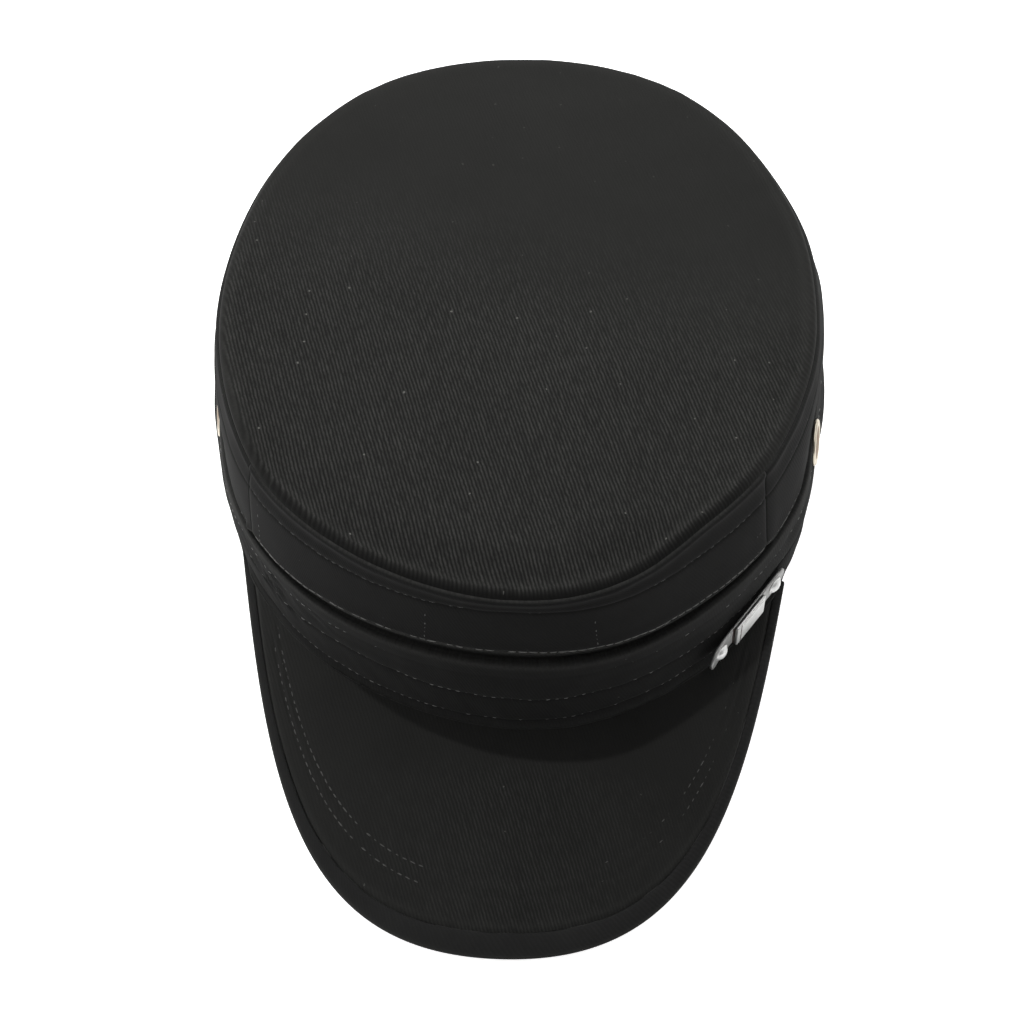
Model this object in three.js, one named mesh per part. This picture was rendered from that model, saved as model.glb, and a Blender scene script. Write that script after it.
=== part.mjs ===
import * as THREE from 'three';

// Flat-topped cloth cap with a stiff peak, in millimetres. It is shaped with its lower edge
// level and its front towards -Y, then leaned back the way it rests on its peak and its back.

// Outlines of the wall, from its foot up. Each is an oval: power 2 is an ellipse and more is
// squarer, and taper narrows it in front. Slope and dip lower its back and its front middle.
const bandFoot = {
  height: 0, halfWidth: 97.0, front: -100.9, back: 101.5, taper: 0.075, power: 2.06, slope: 0, dip: 0,
};
const bandBelly = {
  height: 21, halfWidth: 97.4, front: -99.3, back: 103.0, taper: 0.06, power: 2.06, slope: 0, dip: 0,
};
const hemLevel = {
  height: 37.4, halfWidth: 91.6, front: -98.0, back: 102.2, taper: 0.023, power: 2.18, slope: 0, dip: 0,
};
const crownTop = {
  height: 76.4, halfWidth: 86.7, front: -101.7, back: 102.8, taper: 0.023, power: 2.06,
  slope: -0.0044, dip: 1.5,
};

// Where the soft wall strays from a plain oval: angle and spread in degrees, then how far it
// stands out at the foot and at the top.
const strays = [
  { angle: -142, spread: 9, foot: 0.3, top: 1.2 },
  { angle: -108, spread: 13, foot: -1.0, top: -1.1 },
  { angle: -78, spread: 13, foot: 1.0, top: 1.2 },
  { angle: -54, spread: 9, foot: 0.1, top: -1.4 },
  { angle: -22, spread: 5, foot: 0.9, top: 0 },
  { angle: -10, spread: 6, foot: -1.9, top: 0.4 },
  { angle: 17, spread: 8, foot: 3.0, top: 0.2 },
  { angle: 28, spread: 8, foot: 1.2, top: -0.4 },
  { angle: 57, spread: 13, foot: 0, top: 1.5 },
  { angle: 122, spread: 12, foot: 0, top: 1.2 },
  { angle: 167, spread: 11, foot: 3.0, top: -1.0 },
  { angle: 190, spread: 6, foot: -1.1, top: 0 },
];

const cloth = 2.0;           // thickness of the crown's cloth
const gap = 0.3;             // between neighbouring pieces
const topDome = 2.6;         // rise of the top panel's middle
const ridge = 1.2;           // how far the rolled top edge stands out
const seamAngle = THREE.MathUtils.degToRad(-36.7);   // side seam, from +X towards the back
const seamTuck = 0.9;        // how far a panel's end turns in at the seam

const bandEdge = 32.4;       // height of the band's upper edge, tucked under the crown's hem
const bandBottom = -1.5;
const bandThickness = 2.4;
const tongueTop = 45;        // the band's thin upper part goes up behind the crown wall
const tongueThickness = 1.8;

const peakSlope = 0.45;      // fall of the peak towards the front
const peakThickness = 3.0;
const peakEnd = { x: 83.0, y: -48.0 };
const peakTip = -161.6;      // foremost point of the peak
const peakCorner = { x: 73.2, y: -109.0, frontX: 60.0 };   // handles of its outline curve
const boardEnd = 0.95;       // how far round the board goes before only the binding is left
const bindingFront = 7.3;    // width of the edge binding at the front, in plan
const bindingSide = 2.6;
const bindingThickness = 3.8;

const plateCentre = new THREE.Vector3(71.46, -67.73, 9.3);
const plateTurn = THREE.MathUtils.degToRad(52.9);
const plateRise = THREE.MathUtils.degToRad(5.0);
const plateLength = 40.0;
const plateWidth = 9.4;
const plateThickness = 0.9;
const barLength = 14.4;
const barWidth = 10.6;
const barThickness = 1.1;
const rivetSpacing = 28.2;
const rivetRadius = 2.9;
const rivetHeight = 1.4;

const buttonRadius = 7.3;
const buttonAngle = THREE.MathUtils.degToRad(-8.2);
const leftButton = { angle: THREE.MathUtils.degToRad(184), height: 29.7 };   // a little further back and up
const buttonHeight = 29.4;
const buttonGap = 0.7;       // its back stands off the curved cloth by this much

const ringSteps = 72;

const twill = () => new THREE.MeshStandardMaterial({ color: 0x1d1e1d, roughness: 0.92, metalness: 0 });
const steel = () => new THREE.MeshStandardMaterial({ color: 0xc4c5c4, roughness: 0.28, metalness: 1 });
const brass = () => new THREE.MeshStandardMaterial({ color: 0xb09467, roughness: 0.35, metalness: 1 });

function signedPower(value, power) {
  return Math.sign(value) * Math.abs(value) ** power;
}

// An outline part of the way from one to another, or past them.
function blend(low, high, share) {
  const mixed = {};
  for (const key of Object.keys(low)) {
    mixed[key] = THREE.MathUtils.lerp(low[key], high[key], share);
  }
  return mixed;
}

function between(low, high, height) {
  return blend(low, high, (height - low.height) / (high.height - low.height));
}

const crownAt = (height) => between(hemLevel, crownTop, height);
const bandRim = crownAt(bandEdge);
const bandAt = (height) => between(bandFoot, bandBelly, height);
const shoulderAt = (height) => between(bandBelly, bandRim, height);

function strayAt(angle, height) {
  const share = height / crownTop.height;
  let total = 0;
  for (const stray of strays) {
    const away = THREE.MathUtils.radToDeg(angle) - stray.angle;
    const turned = THREE.MathUtils.euclideanModulo(away + 180, 360) - 180;
    const amount = THREE.MathUtils.lerp(stray.foot, stray.top, share);
    total += amount * Math.exp(-0.5 * (turned / stray.spread) ** 2);
  }
  return total;
}

// A point of the wall: the angle runs from +X, and out is the distance outside the outline.
function wallPoint(outline, angle, out) {
  const along = signedPower(Math.sin(angle), 2 / outline.power);
  const across = signedPower(Math.cos(angle), 2 / outline.power);
  const middle = (outline.front + outline.back) / 2;
  const reach = (outline.back - outline.front) / 2;
  const offset = out + strayAt(angle, outline.height);
  const y = middle + (reach + offset) * along;
  const dip = outline.dip * Math.max(0, -Math.sin(angle)) ** 4;
  return new THREE.Vector3(
    (outline.halfWidth + offset) * across * (1 + outline.taper * along),
    y,
    outline.height + outline.slope * y - dip,
  );
}

// Makes a geometry of points and faces, turned so that its faces look outward.
function closedSolid(points, faces) {
  let volume = 0;
  for (const [a, b, c] of faces) {
    volume += points[a].dot(new THREE.Vector3().crossVectors(points[b], points[c]));
  }
  const turned = volume < 0 ? faces.map(([a, b, c]) => [a, c, b]) : faces;
  const geometry = new THREE.BufferGeometry().setFromPoints(points);
  geometry.setIndex(turned.flat());
  return geometry;
}

// Skins a row of closed sections, each a list of the same number of points.
function skinSections(sections, joined) {
  const count = sections[0].length;
  const points = sections.flat();
  const faces = [];
  const spans = joined ? sections.length : sections.length - 1;
  for (let i = 0; i < spans; i += 1) {
    const next = (i + 1) % sections.length;
    for (let j = 0; j < count; j += 1) {
      const a = i * count + j;
      const b = i * count + ((j + 1) % count);
      const c = next * count + ((j + 1) % count);
      const d = next * count + j;
      faces.push([a, b, c], [a, c, d]);
    }
  }
  return { points, faces, count };
}

// Closes both ends of a skinned row; the flat profile gives the shape of the end faces.
function capEnds(skin, profile) {
  const last = skin.points.length - skin.count;
  const clockwise = THREE.ShapeUtils.isClockWise(profile);
  for (const triangle of THREE.ShapeUtils.triangulateShape(profile, [])) {
    const sameWay = THREE.ShapeUtils.isClockWise(triangle.map((k) => profile[k])) === clockwise;
    const [a, b, c] = sameWay ? triangle : [...triangle].reverse();
    skin.faces.push([a, c, b], [last + a, last + b, last + c]);
  }
  return skin;
}

function wallRing(profile) {
  const sections = [];
  for (let i = 0; i < ringSteps; i += 1) {
    const angle = (i / ringSteps) * Math.PI * 2;
    sections.push(profile.map(([outline, out]) => wallPoint(outline, angle, out)));
  }
  const { points, faces } = skinSections(sections, true);
  return closedSolid(points, faces);
}

// A panel of the crown wall between two seams, its ends turned in a little.
function crownPanel(startAngle, endAngle, steps) {
  const profile = [
    [crownAt(36.9), 0.2], [crownAt(38.2), 0.5], [crownAt(50), 0.5], [crownAt(62), 0.3],
    [crownAt(67), 0.2], [crownAt(70.5), ridge * 0.7], [crownAt(73.3), ridge],
    [crownAt(75.4), ridge * 0.5], [crownAt(76.4), -0.8], [crownAt(75.7), -cloth],
    [crownAt(66), -cloth], [crownAt(50), -cloth + 0.2], [crownAt(37.1), -cloth + 0.2],
  ];
  const clearance = gap / 2 / 93;
  const start = startAngle + clearance;
  const end = endAngle - clearance;
  const fold = 0.016;
  const stations = [start, start + fold * 0.4, start + fold];
  for (let i = 1; i < steps; i += 1) {
    stations.push(THREE.MathUtils.lerp(start + fold, end - fold, i / steps));
  }
  stations.push(end - fold, end - fold * 0.4, end);
  const sections = stations.map((angle) => {
    const fromEnd = Math.min(angle - start, end - angle);
    const closeness = Math.max(0, 1 - fromEnd / fold);
    const tuck = seamTuck * closeness ** 2;
    return profile.map(([outline, out]) => wallPoint(outline, angle, out > -0.9 ? out - tuck : out));
  });
  const flat = profile.map(([outline, out]) => new THREE.Vector2(out, outline.height));
  const skin = capEnds(skinSections(sections, false), flat);
  return closedSolid(skin.points, skin.faces);
}

// The top panel: a shallow dome inside the rolled edge.
function topPanel() {
  const rings = [0.2, 0.4, 0.58, 0.74, 0.87, 0.95, 0.985, 1.0];
  const middle = (crownTop.front + crownTop.back) / 2;
  const place = (angle, ring, depth) => {
    const edge = wallPoint(crownTop, angle, -cloth - gap);
    const x = edge.x * ring;
    const y = middle + (edge.y - middle) * ring;
    const dip = crownTop.dip * (Math.max(0, -Math.sin(angle)) * ring) ** 4;
    const rolled = ring === 1 ? 0.8 : 0;
    const level = crownTop.height + crownTop.slope * y - dip + topDome * (1 - ring ** 2);
    return new THREE.Vector3(x, y, level - 0.2 - (depth > 0 ? depth - rolled * 0.3 : rolled));
  };
  const points = [];
  const faces = [];
  for (const depth of [0, cloth]) {
    points.push(place(0, 0, depth));
    for (const ring of rings) {
      for (let i = 0; i < ringSteps; i += 1) {
        points.push(place((i / ringSteps) * Math.PI * 2, ring, depth));
      }
    }
  }
  const side = 1 + rings.length * ringSteps;
  for (const [base, flip] of [[0, false], [side, true]]) {
    const add = (a, b, c) => faces.push(flip ? [a, c, b] : [a, b, c]);
    for (let i = 0; i < ringSteps; i += 1) {
      const next = (i + 1) % ringSteps;
      add(base, base + 1 + i, base + 1 + next);
      for (let r = 0; r < rings.length - 1; r += 1) {
        const inner = base + 1 + r * ringSteps;
        const outer = inner + ringSteps;
        add(inner + i, outer + i, outer + next);
        add(inner + i, outer + next, inner + next);
      }
    }
  }
  const rimTop = 1 + (rings.length - 1) * ringSteps;
  for (let i = 0; i < ringSteps; i += 1) {
    const next = (i + 1) % ringSteps;
    faces.push([rimTop + i, side + rimTop + i, side + rimTop + next]);
    faces.push([rimTop + i, side + rimTop + next, rimTop + next]);
  }
  return closedSolid(points, faces);
}

// Where the peak meets the band. Both run from -1 at the left end to 1 at the right end.
function peakRoot(along) {
  const middle = (bandFoot.front + bandFoot.back) / 2;
  const reach = (bandFoot.back - bandFoot.front) / 2;
  const endSine = -(((middle - peakEnd.y) / reach) ** (bandFoot.power / 2));
  const endAngle = Math.asin(endSine);
  const angle = -Math.PI / 2 + along * (Math.PI / 2 + endAngle);
  return wallPoint(bandFoot, angle, gap);
}

function peakRim(along) {
  const curve = new THREE.CubicBezierCurve(
    new THREE.Vector2(peakEnd.x + 2.2, peakEnd.y),
    new THREE.Vector2(peakCorner.x, peakCorner.y),
    new THREE.Vector2(peakCorner.frontX, peakTip),
    new THREE.Vector2(0, peakTip),
  );
  const point = curve.getPoint(1 - Math.abs(along));
  return { x: point.x * Math.sign(along || 1), y: point.y };
}

// The peak falls forward and bends down at both sides, and starts level along the band.
function peakLevel(point, along, share) {
  const sideDrop = (peakSlope * (peakEnd.y - bandFoot.front)) / peakEnd.x ** 2;
  const bent = ({ x, y }) => peakSlope * (y - bandFoot.front) - sideDrop * x ** 2;
  return bent(point) - bent(peakRoot(along)) * (1 - share) ** 2;
}

function bindingWidth(along) {
  const rim = peakRim(along);
  const root = peakRoot(along);
  const room = Math.hypot(rim.x - root.x, rim.y - root.y);
  const forward = (peakEnd.y - rim.y) / (peakEnd.y - peakTip);
  const width = bindingSide + (bindingFront - bindingSide) * forward ** 1.8;
  return { width: Math.min(width, room * 0.9), room };
}

// A point of the peak: share 0 is at the band and share 1 on the rim.
function peakPoint(along, share, lift) {
  const rim = peakRim(along);
  const root = peakRoot(along);
  const point = {
    x: THREE.MathUtils.lerp(root.x, rim.x, share),
    y: THREE.MathUtils.lerp(root.y, rim.y, share),
  };
  return new THREE.Vector3(point.x, point.y, peakLevel(point, along, share) + lift);
}

function peakBoard() {
  const steps = 44;
  const shares = [0, 0.1, 0.25, 0.42, 0.6, 0.78, 0.92, 1];
  const half = peakThickness / 2;
  const sections = [];
  for (let i = 0; i <= steps; i += 1) {
    const along = boardEnd * (2 * (i / steps) - 1);
    const { width, room } = bindingWidth(along);
    const limit = 1 - (width + gap) / room;
    const top = shares.map((share) => peakPoint(along, share * limit, half - 1 - (share === 1 ? 0.6 : 0)));
    const under = shares.map((share) => peakPoint(along, share * limit, -half - 1)).reverse();
    sections.push([...top, ...under]);
  }
  const flat = [
    ...shares.map((share) => new THREE.Vector2(share, 1)),
    ...shares.map((share) => new THREE.Vector2(share, 0)).reverse(),
  ];
  const skin = capEnds(skinSections(sections, false), flat);
  return closedSolid(skin.points, skin.faces);
}

// The binding rolled round the peak's edge.
function peakBinding() {
  const steps = 52;
  const half = bindingThickness / 2;
  const profile = [
    [0, half * 0.55], [0.2, half * 0.92], [0.5, half], [0.8, half * 0.86], [0.96, half * 0.45],
    [1, 0], [0.96, -half * 0.5], [0.8, -half * 0.9], [0.4, -half], [0, -half * 0.8],
  ];
  const sections = [];
  for (let i = 0; i <= steps; i += 1) {
    const along = 2 * (i / steps) - 1;
    const { width, room } = bindingWidth(along);
    const inner = 1 - width / room;
    const thin = Math.min(1, 0.55 + 3 * (1 - Math.abs(along)));
    sections.push(profile.map(([across, lift]) => (
      peakPoint(along, THREE.MathUtils.lerp(inner, 1, across), lift * thin - 1)
    )));
  }
  const flat = profile.map(([across, lift]) => new THREE.Vector2(across, lift));
  const skin = capEnds(skinSections(sections, false), flat);
  return closedSolid(skin.points, skin.faces);
}

// Axes of the side plate: along it, up it and out of it.
function plateAxes() {
  const outward = new THREE.Vector3(Math.sin(plateTurn), -Math.cos(plateTurn), 0);
  const along = new THREE.Vector3(
    Math.cos(plateTurn) * Math.cos(plateRise),
    Math.sin(plateTurn) * Math.cos(plateRise),
    Math.sin(plateRise),
  );
  const upward = new THREE.Vector3().crossVectors(outward, along);
  return new THREE.Matrix4().makeBasis(along, upward, outward).setPosition(plateCentre);
}

// A flat piece in the plate's own axes: rounded outline, thickness from base to base + depth.
function plateSlab(length, width, radius, base, depth) {
  const bevel = 0.2;
  const x = length / 2 - bevel;
  const y = width / 2 - bevel;
  const r = radius - bevel;
  const outline = new THREE.Shape();
  outline.moveTo(-x + r, -y);
  outline.lineTo(x - r, -y);
  outline.absarc(x - r, -y + r, r, -Math.PI / 2, 0);
  outline.lineTo(x, y - r);
  outline.absarc(x - r, y - r, r, 0, Math.PI / 2);
  outline.lineTo(-x + r, y);
  outline.absarc(-x + r, y - r, r, Math.PI / 2, Math.PI);
  outline.lineTo(-x, -y + r);
  outline.absarc(-x + r, -y + r, r, Math.PI, Math.PI * 1.5);
  const slab = new THREE.ExtrudeGeometry(outline, {
    depth: depth - 2 * bevel,
    bevelEnabled: true,
    bevelSegments: 1,
    bevelSize: bevel,
    bevelThickness: bevel,
    curveSegments: 8,
  });
  slab.translate(0, 0, base + bevel);
  return slab.applyMatrix4(plateAxes());
}

function rivet(offset) {
  const profile = [
    [0, 0], [rivetRadius, 0], [rivetRadius, 0.35], [rivetRadius * 0.86, 0.85],
    [rivetRadius * 0.55, 1.22], [0, rivetHeight],
  ].map(([r, h]) => new THREE.Vector2(r, h));
  const dome = new THREE.LatheGeometry(profile, 20);
  dome.rotateX(Math.PI / 2);
  dome.translate(offset, 0, gap);
  return dome.applyMatrix4(plateAxes());
}

// A flat stud on the band's sloping shoulder.
function button(side) {
  const angle = side > 0 ? buttonAngle : leftButton.angle;
  const height = side > 0 ? buttonHeight : leftButton.height;
  const profile = [
    [0, 0], [buttonRadius - 0.2, 0], [buttonRadius, 0.3], [buttonRadius, 0.9], [buttonRadius - 0.6, 1.3],
    [buttonRadius - 1.6, 1.2], [buttonRadius - 2.1, 0.7], [0, 1.0],
  ].map(([r, h]) => new THREE.Vector2(r, h));
  const disc = new THREE.LatheGeometry(profile, 28);
  const seat = wallPoint(shoulderAt(height), angle, 0);
  const round = wallPoint(shoulderAt(height), angle + 0.01, 0).sub(seat);
  const rise = wallPoint(shoulderAt(height + 1), angle, 0).sub(seat);
  const normal = round.cross(rise).normalize();
  disc.applyQuaternion(new THREE.Quaternion().setFromUnitVectors(new THREE.Vector3(0, 1, 0), normal));
  seat.addScaledVector(normal, buttonGap);
  return disc.translate(seat.x, seat.y, seat.z);
}

const behindCrown = -cloth - gap;
const bandProfile = [
  [bandAt(bandBottom), -0.8], [bandAt(bandBottom + 0.7), 0], [bandAt(3), 0], [bandAt(12), 0],
  [bandBelly, 0], [shoulderAt(25), 0.1], [shoulderAt(29), 0.1], [bandRim, 0],
  [crownAt(bandEdge + 0.3), behindCrown + 0.6], [crownAt(bandEdge + 1.2), behindCrown],
  [crownAt(tongueTop), behindCrown], [crownAt(tongueTop), behindCrown - tongueThickness],
  [crownAt(bandEdge), behindCrown - tongueThickness],
  [shoulderAt(27), -bandThickness], [bandAt(19), -bandThickness], [bandAt(3), -bandThickness],
  [bandAt(bandBottom), -bandThickness],
];

const pieces = [
  ['top_panel', topPanel(), twill],
  ['crown_front', crownPanel(-Math.PI - seamAngle, seamAngle, 26), twill],
  ['crown_back', crownPanel(seamAngle, Math.PI - seamAngle, 56), twill],
  ['hat_band', wallRing(bandProfile), twill],
  ['peak', peakBoard(), twill],
  ['peak_binding', peakBinding(), twill],
  ['side_plate', plateSlab(plateLength, plateWidth, plateWidth / 2, -plateThickness, plateThickness), steel],
  ['plate_bar', plateSlab(barLength, barWidth, 0.6, gap, barThickness), steel],
  ['plate_rivet_front', rivet(-rivetSpacing / 2), steel],
  ['plate_rivet_rear', rivet(rivetSpacing / 2), steel],
  ['side_button_left', button(-1), brass],
  ['side_button_right', button(1), brass],
];

// The lean: the cap tips back on the lower edge of its band until the peak touches the floor.
function restingPose() {
  const foot = wallPoint(bandAt(bandBottom), Math.PI / 2, -0.8);
  let steepest = 0;
  const peakPoints = pieces.find(([name]) => name === 'peak_binding')[1].getAttribute('position');
  for (let i = 0; i < peakPoints.count; i += 1) {
    const run = foot.y - peakPoints.getY(i);
    steepest = Math.max(steepest, (foot.z - peakPoints.getZ(i)) / run);
  }
  return new THREE.Matrix4().makeRotationX(-Math.atan(steepest));
}

const cap = new THREE.Group();
cap.name = 'flat_top_cap';
const pose = restingPose();
const bounds = new THREE.Box3();
for (const [name, geometry, finish] of pieces) {
  geometry.applyMatrix4(pose);
  geometry.computeBoundingBox();
  bounds.union(geometry.boundingBox);
  const mesh = new THREE.Mesh(geometry, finish());
  mesh.name = name;
  mesh.material.name = name;
  cap.add(mesh);
}
const middle = bounds.getCenter(new THREE.Vector3());
for (const mesh of cap.children) {
  mesh.geometry.translate(-middle.x, -middle.y, -bounds.min.z);
  mesh.geometry.computeVertexNormals();
}

export default cap;
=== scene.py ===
import bisect
import functools
import math
import random

import bmesh
import bpy
from mathutils import Matrix, Vector, noise


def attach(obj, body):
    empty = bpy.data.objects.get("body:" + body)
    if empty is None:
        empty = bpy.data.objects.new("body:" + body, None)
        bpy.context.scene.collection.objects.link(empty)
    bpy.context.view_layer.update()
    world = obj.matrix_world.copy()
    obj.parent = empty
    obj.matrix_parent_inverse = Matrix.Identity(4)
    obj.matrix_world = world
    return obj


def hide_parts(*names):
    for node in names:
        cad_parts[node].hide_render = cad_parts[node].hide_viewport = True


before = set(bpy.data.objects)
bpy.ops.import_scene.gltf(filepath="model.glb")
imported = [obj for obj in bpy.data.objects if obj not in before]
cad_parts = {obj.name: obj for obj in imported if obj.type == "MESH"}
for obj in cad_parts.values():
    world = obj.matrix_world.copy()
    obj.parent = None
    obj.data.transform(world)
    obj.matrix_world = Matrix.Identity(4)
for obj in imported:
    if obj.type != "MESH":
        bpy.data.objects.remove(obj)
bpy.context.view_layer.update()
scene = bpy.context.scene
print("flat-top cap: frame loaded")

# Shapes are worked out in mm with the band's lower edge level, then leaned back into the frame.
capRest = {
    "lean": 6.54,                        # degrees, back onto the rear of the band
    "shift": (0.385, 26.054, 12.947),    # mm, where the middle of the band's foot comes to
}
capPlace = (
    Matrix.Scale(0.001, 4)
    @ Matrix.Translation(capRest["shift"])
    @ Matrix.Rotation(-math.radians(capRest["lean"]), 4, "X")
)

view = {
    "target": (-0.23, -42.71, 25.88),    # mm, in front of the crown
    "distance": 469.16,                  # mm
    "rise": 55.74,                       # degrees above the band's level
    "turn": 3.16,
    "roll": -1.06,
    "lens": 54.56,                       # mm on a 36 mm sensor
}


def addObject(name, data):
    made = bpy.data.objects.new(name, data)
    scene.collection.objects.link(made)
    return made


def addCamera():
    rise, turn, roll = (math.radians(view[key]) for key in ("rise", "turn", "roll"))
    back = Vector((math.sin(turn) * math.cos(rise), -math.cos(turn) * math.cos(rise), math.sin(rise)))
    level = Vector((0, 0, 1)).cross(back).normalized()
    upright = back.cross(level)
    right = level * math.cos(roll) + upright * math.sin(roll)
    up = upright * math.cos(roll) - level * math.sin(roll)
    leanTurn = Matrix.Rotation(-math.radians(capRest["lean"]), 3, "X")
    turned = (leanTurn @ Matrix((right, up, back)).transposed()).to_4x4()
    place = capPlace @ (Vector(view["target"]) + back * view["distance"])
    camera = addObject("studioCamera", bpy.data.cameras.new("studioCamera"))
    camera.data.lens = view["lens"]
    camera.data.sensor_width = 36
    camera.data.clip_start = 0.01
    camera.matrix_world = Matrix.Translation(place) @ turned
    scene.camera = camera


addCamera()

# Outlines of the wall, each an oval: power 2 is an ellipse, taper narrows it in front.
ovals = {
    "foot": {"height": 0, "halfWidth": 97.0, "front": -100.9, "back": 101.5, "taper": 0.075,
             "power": 2.06, "slope": 0, "dip": 0},
    "belly": {"height": 21, "halfWidth": 97.4, "front": -99.3, "back": 103.0, "taper": 0.06,
              "power": 2.06, "slope": 0, "dip": 0},
    "hem": {"height": 37.4, "halfWidth": 91.6, "front": -98.0, "back": 102.2, "taper": 0.023,
            "power": 2.18, "slope": 0, "dip": 0},
    "top": {"height": 76.4, "halfWidth": 86.7, "front": -101.7, "back": 102.8, "taper": 0.023,
            "power": 2.06, "slope": -0.0044, "dip": 1.5},
}
strays = [    # where the soft wall leaves the oval: degrees, their spread, mm at the foot and at the top
    (-142, 9, 0.3, 1.2), (-108, 13, -1.0, -1.1), (-78, 13, 1.0, 1.2), (-54, 9, 0.1, -1.4),
    (-22, 5, 0.9, 0), (-10, 6, -1.9, 0.4), (17, 8, 3.0, 0.2), (28, 8, 1.2, -0.4),
    (57, 13, 0, 1.5), (122, 12, 0, 1.2), (167, 11, 3.0, -1.0), (190, 6, -1.1, 0),
]
bandEdge = 32.4    # mm, the band's upper edge under the crown's hem


def mix(low, high, share):
    return low + (high - low) * share


def ovalBetween(low, high, height):
    share = (height - low["height"]) / (high["height"] - low["height"])
    return {key: mix(low[key], high[key], share) for key in low}


@functools.lru_cache(maxsize=None)
def crownOval(height):
    return ovalBetween(ovals["hem"], ovals["top"], height)


@functools.lru_cache(maxsize=None)
def bandOval(height):
    if height <= ovals["belly"]["height"]:
        return ovalBetween(ovals["foot"], ovals["belly"], height)
    if height <= bandEdge:
        return ovalBetween(ovals["belly"], crownOval(bandEdge), height)
    return crownOval(height)


def bell(distance, width):
    return math.exp(-0.5 * (distance / width) ** 2)


def degreesFrom(angle, centre):    # how far round from centre, -180 to 180
    return (math.degrees(angle) - centre + 180) % 360 - 180


def fromFront(angle):
    return degreesFrom(angle, -90)


@functools.lru_cache(maxsize=None)
def strayAt(angle):
    foot = top = 0
    for centre, spread, atFoot, atTop in strays:
        near = bell(degreesFrom(angle, centre), spread)
        foot += atFoot * near
        top += atTop * near
    return foot, top


def signedPower(value, power):
    return math.copysign(abs(value) ** power, value)


def wallPoint(oval, angle, out):
    along = signedPower(math.sin(angle), 2 / oval["power"])
    across = signedPower(math.cos(angle), 2 / oval["power"])
    foot, top = strayAt(round(angle, 6))
    offset = out + mix(foot, top, oval["height"] / ovals["top"]["height"])
    y = (oval["front"] + oval["back"]) / 2 + ((oval["back"] - oval["front"]) / 2 + offset) * along
    x = (oval["halfWidth"] + offset) * across * (1 + oval["taper"] * along)
    dip = oval["dip"] * max(0, -math.sin(angle)) ** 4
    return Vector((x, y, oval["height"] + oval["slope"] * y - dip))


arcSteps = 1440
arcLengths = [0.0]    # mm round the wall from the back, for weave and stitches
for step in range(arcSteps):
    ends = [math.pi / 2 + 2 * math.pi * k / arcSteps for k in (step, step + 1)]
    here, there = (wallPoint(ovals["belly"], angle, 0) for angle in ends)
    arcLengths.append(arcLengths[-1] + (there - here).length)


def arcAt(angle):    # grows steadily past the back, so a panel's weave has no break there
    turns = (angle - math.pi / 2) / (2 * math.pi)
    whole = math.floor(turns + 1e-9)
    place = max(0, turns - whole) * arcSteps
    low = min(int(place), arcSteps - 1)
    return whole * arcLengths[-1] + mix(arcLengths[low], arcLengths[low + 1], place - low)


def angleAt(arc):
    whole, rest = divmod(arc, arcLengths[-1])
    low = min(bisect.bisect_right(arcLengths, rest) - 1, arcSteps - 1)
    share = (rest - arcLengths[low]) / (arcLengths[low + 1] - arcLengths[low])
    return math.pi / 2 + 2 * math.pi * (whole + (low + share) / arcSteps)


def smoothStep(value):
    value = min(1, max(0, value))
    return value * value * (3 - 2 * value)


def ripple(x, y, size, seed=0.0):    # smooth noise, about -1 to 1, of that size in mm
    return noise.noise(Vector((x / size, y / size, seed)))


def wallRipple(angle, height, size, seed=0.0):    # the same round the wall, closing on itself
    return noise.noise(Vector((95 * math.cos(angle), 95 * math.sin(angle), height + 50 * seed)) / size)


def wallRipples(ripples, angle, height):    # a sum of them, each as depth, size and seed
    return sum(depth * wallRipple(angle, height, size, seed) for depth, size, seed in ripples)


def faceOut(stations, height):    # how far out the outer face lies at a height
    for (low, outLow), (high, outHigh) in zip(stations, stations[1:]):
        if low <= height <= high:
            return mix(outLow, outHigh, (height - low) / (high - low))
    return stations[-1][1]


def alongProfile(stations, share):    # a smooth curve through the profile's stations
    place = share * (len(stations) - 1)
    k = min(int(place), len(stations) - 2)
    t = place - k
    p0, p1, p2, p3 = (stations[min(max(k + i, 0), len(stations) - 1)] for i in (-1, 0, 1, 2))
    return tuple(
        b + 0.5 * t * (c - a + t * (2 * a - 5 * b + 4 * c - d + t * (3 * (b - c) + d - a)))
        for a, b, c, d in zip(p0, p1, p2, p3)
    )


def clothGrid(columns, rows, place, closed=False):
    # place(u, v) gives a point and the weave's own place in mm, then a tone shift and how clear the weave is:
    # the shift is lighter cloth where worn, painted light on shaded spots and, below 0, painted shade
    shape = bmesh.new()
    weave = shape.loops.layers.uv.new("weave")
    toneShift = shape.verts.layers.float.new("toneShift")
    clear = shape.verts.layers.float.new("clear")
    bmesh.ops.create_grid(shape, x_segments=columns, y_segments=rows, size=0.5)
    laid = {}
    for vert in shape.verts:
        point, laid[vert], vert[toneShift], vert[clear] = place(vert.co.x + 0.5, vert.co.y + 0.5)
        vert.co = point
    for face in shape.faces:
        for loop in face.loops:
            loop[weave].uv = (laid[loop.vert][0] * 0.001, laid[loop.vert][1] * 0.001)
    if closed:
        bmesh.ops.remove_doubles(shape, verts=shape.verts[:], dist=0.0005)
    return shape


def moved(shape, matrix):
    bmesh.ops.transform(shape, matrix=matrix, verts=shape.verts[:])
    return shape


def closeShape(shape):
    bmesh.ops.holes_fill(shape, edges=[edge for edge in shape.edges if edge.is_boundary], sides=0)
    bmesh.ops.recalc_face_normals(shape, faces=shape.faces[:])
    return shape


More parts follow.
